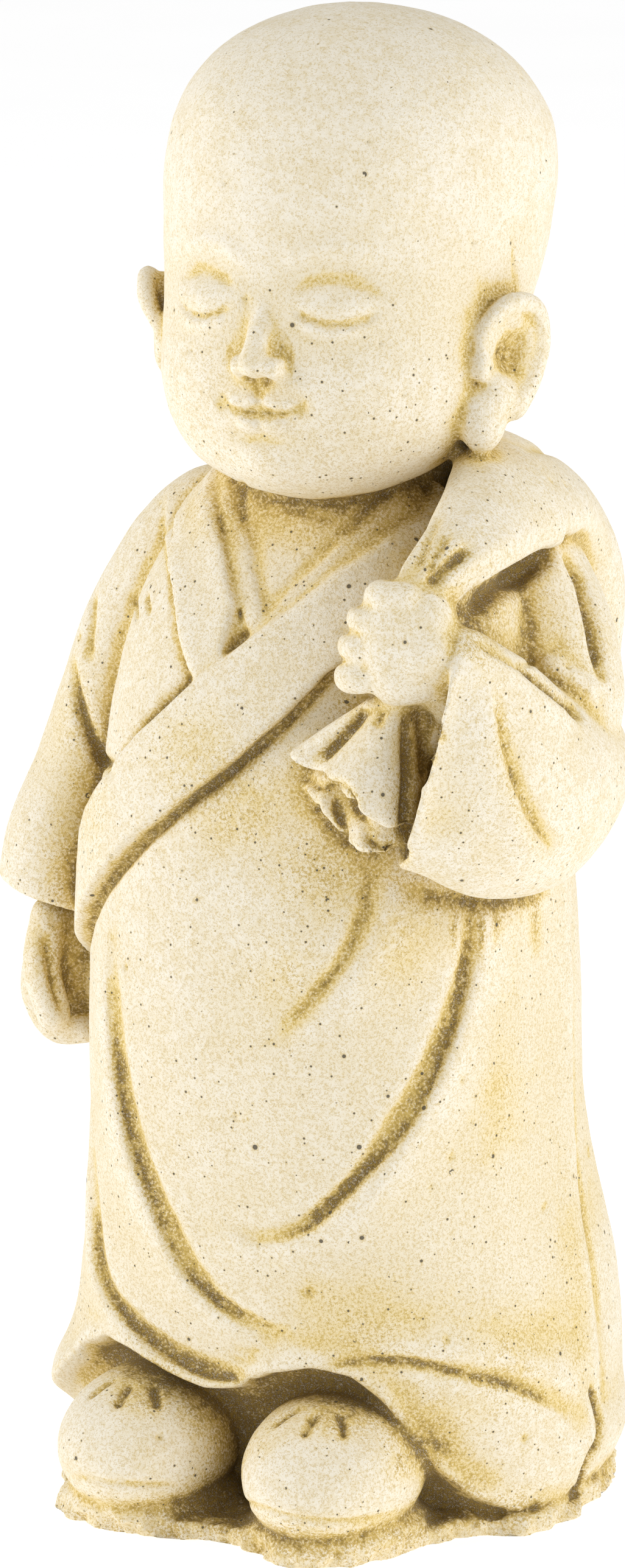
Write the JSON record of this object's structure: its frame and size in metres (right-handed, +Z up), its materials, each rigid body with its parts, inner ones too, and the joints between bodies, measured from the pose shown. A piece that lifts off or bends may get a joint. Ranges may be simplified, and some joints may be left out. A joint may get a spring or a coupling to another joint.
{
  "type": "monk statue",
  "caption": "Standing cast-stone figure of a bald child monk in a crossed robe and cloth shoes, with a sack held over its left shoulder and down its back.",
  "frame": {"origin": "on the flat underside, below the middle of the robe", "axes": "+Z up, the figure looks along -Y, its left hand at +X"},
  "size_m": [0.1912, 0.169, 0.42],
  "materials": {
    "cast_stone": "matt, poured, cream with an ochre wash in the hollows"
  },
  "bodies": {
    "root": {"monk_statue": "cast_stone"}
  },
  "joints": []
}
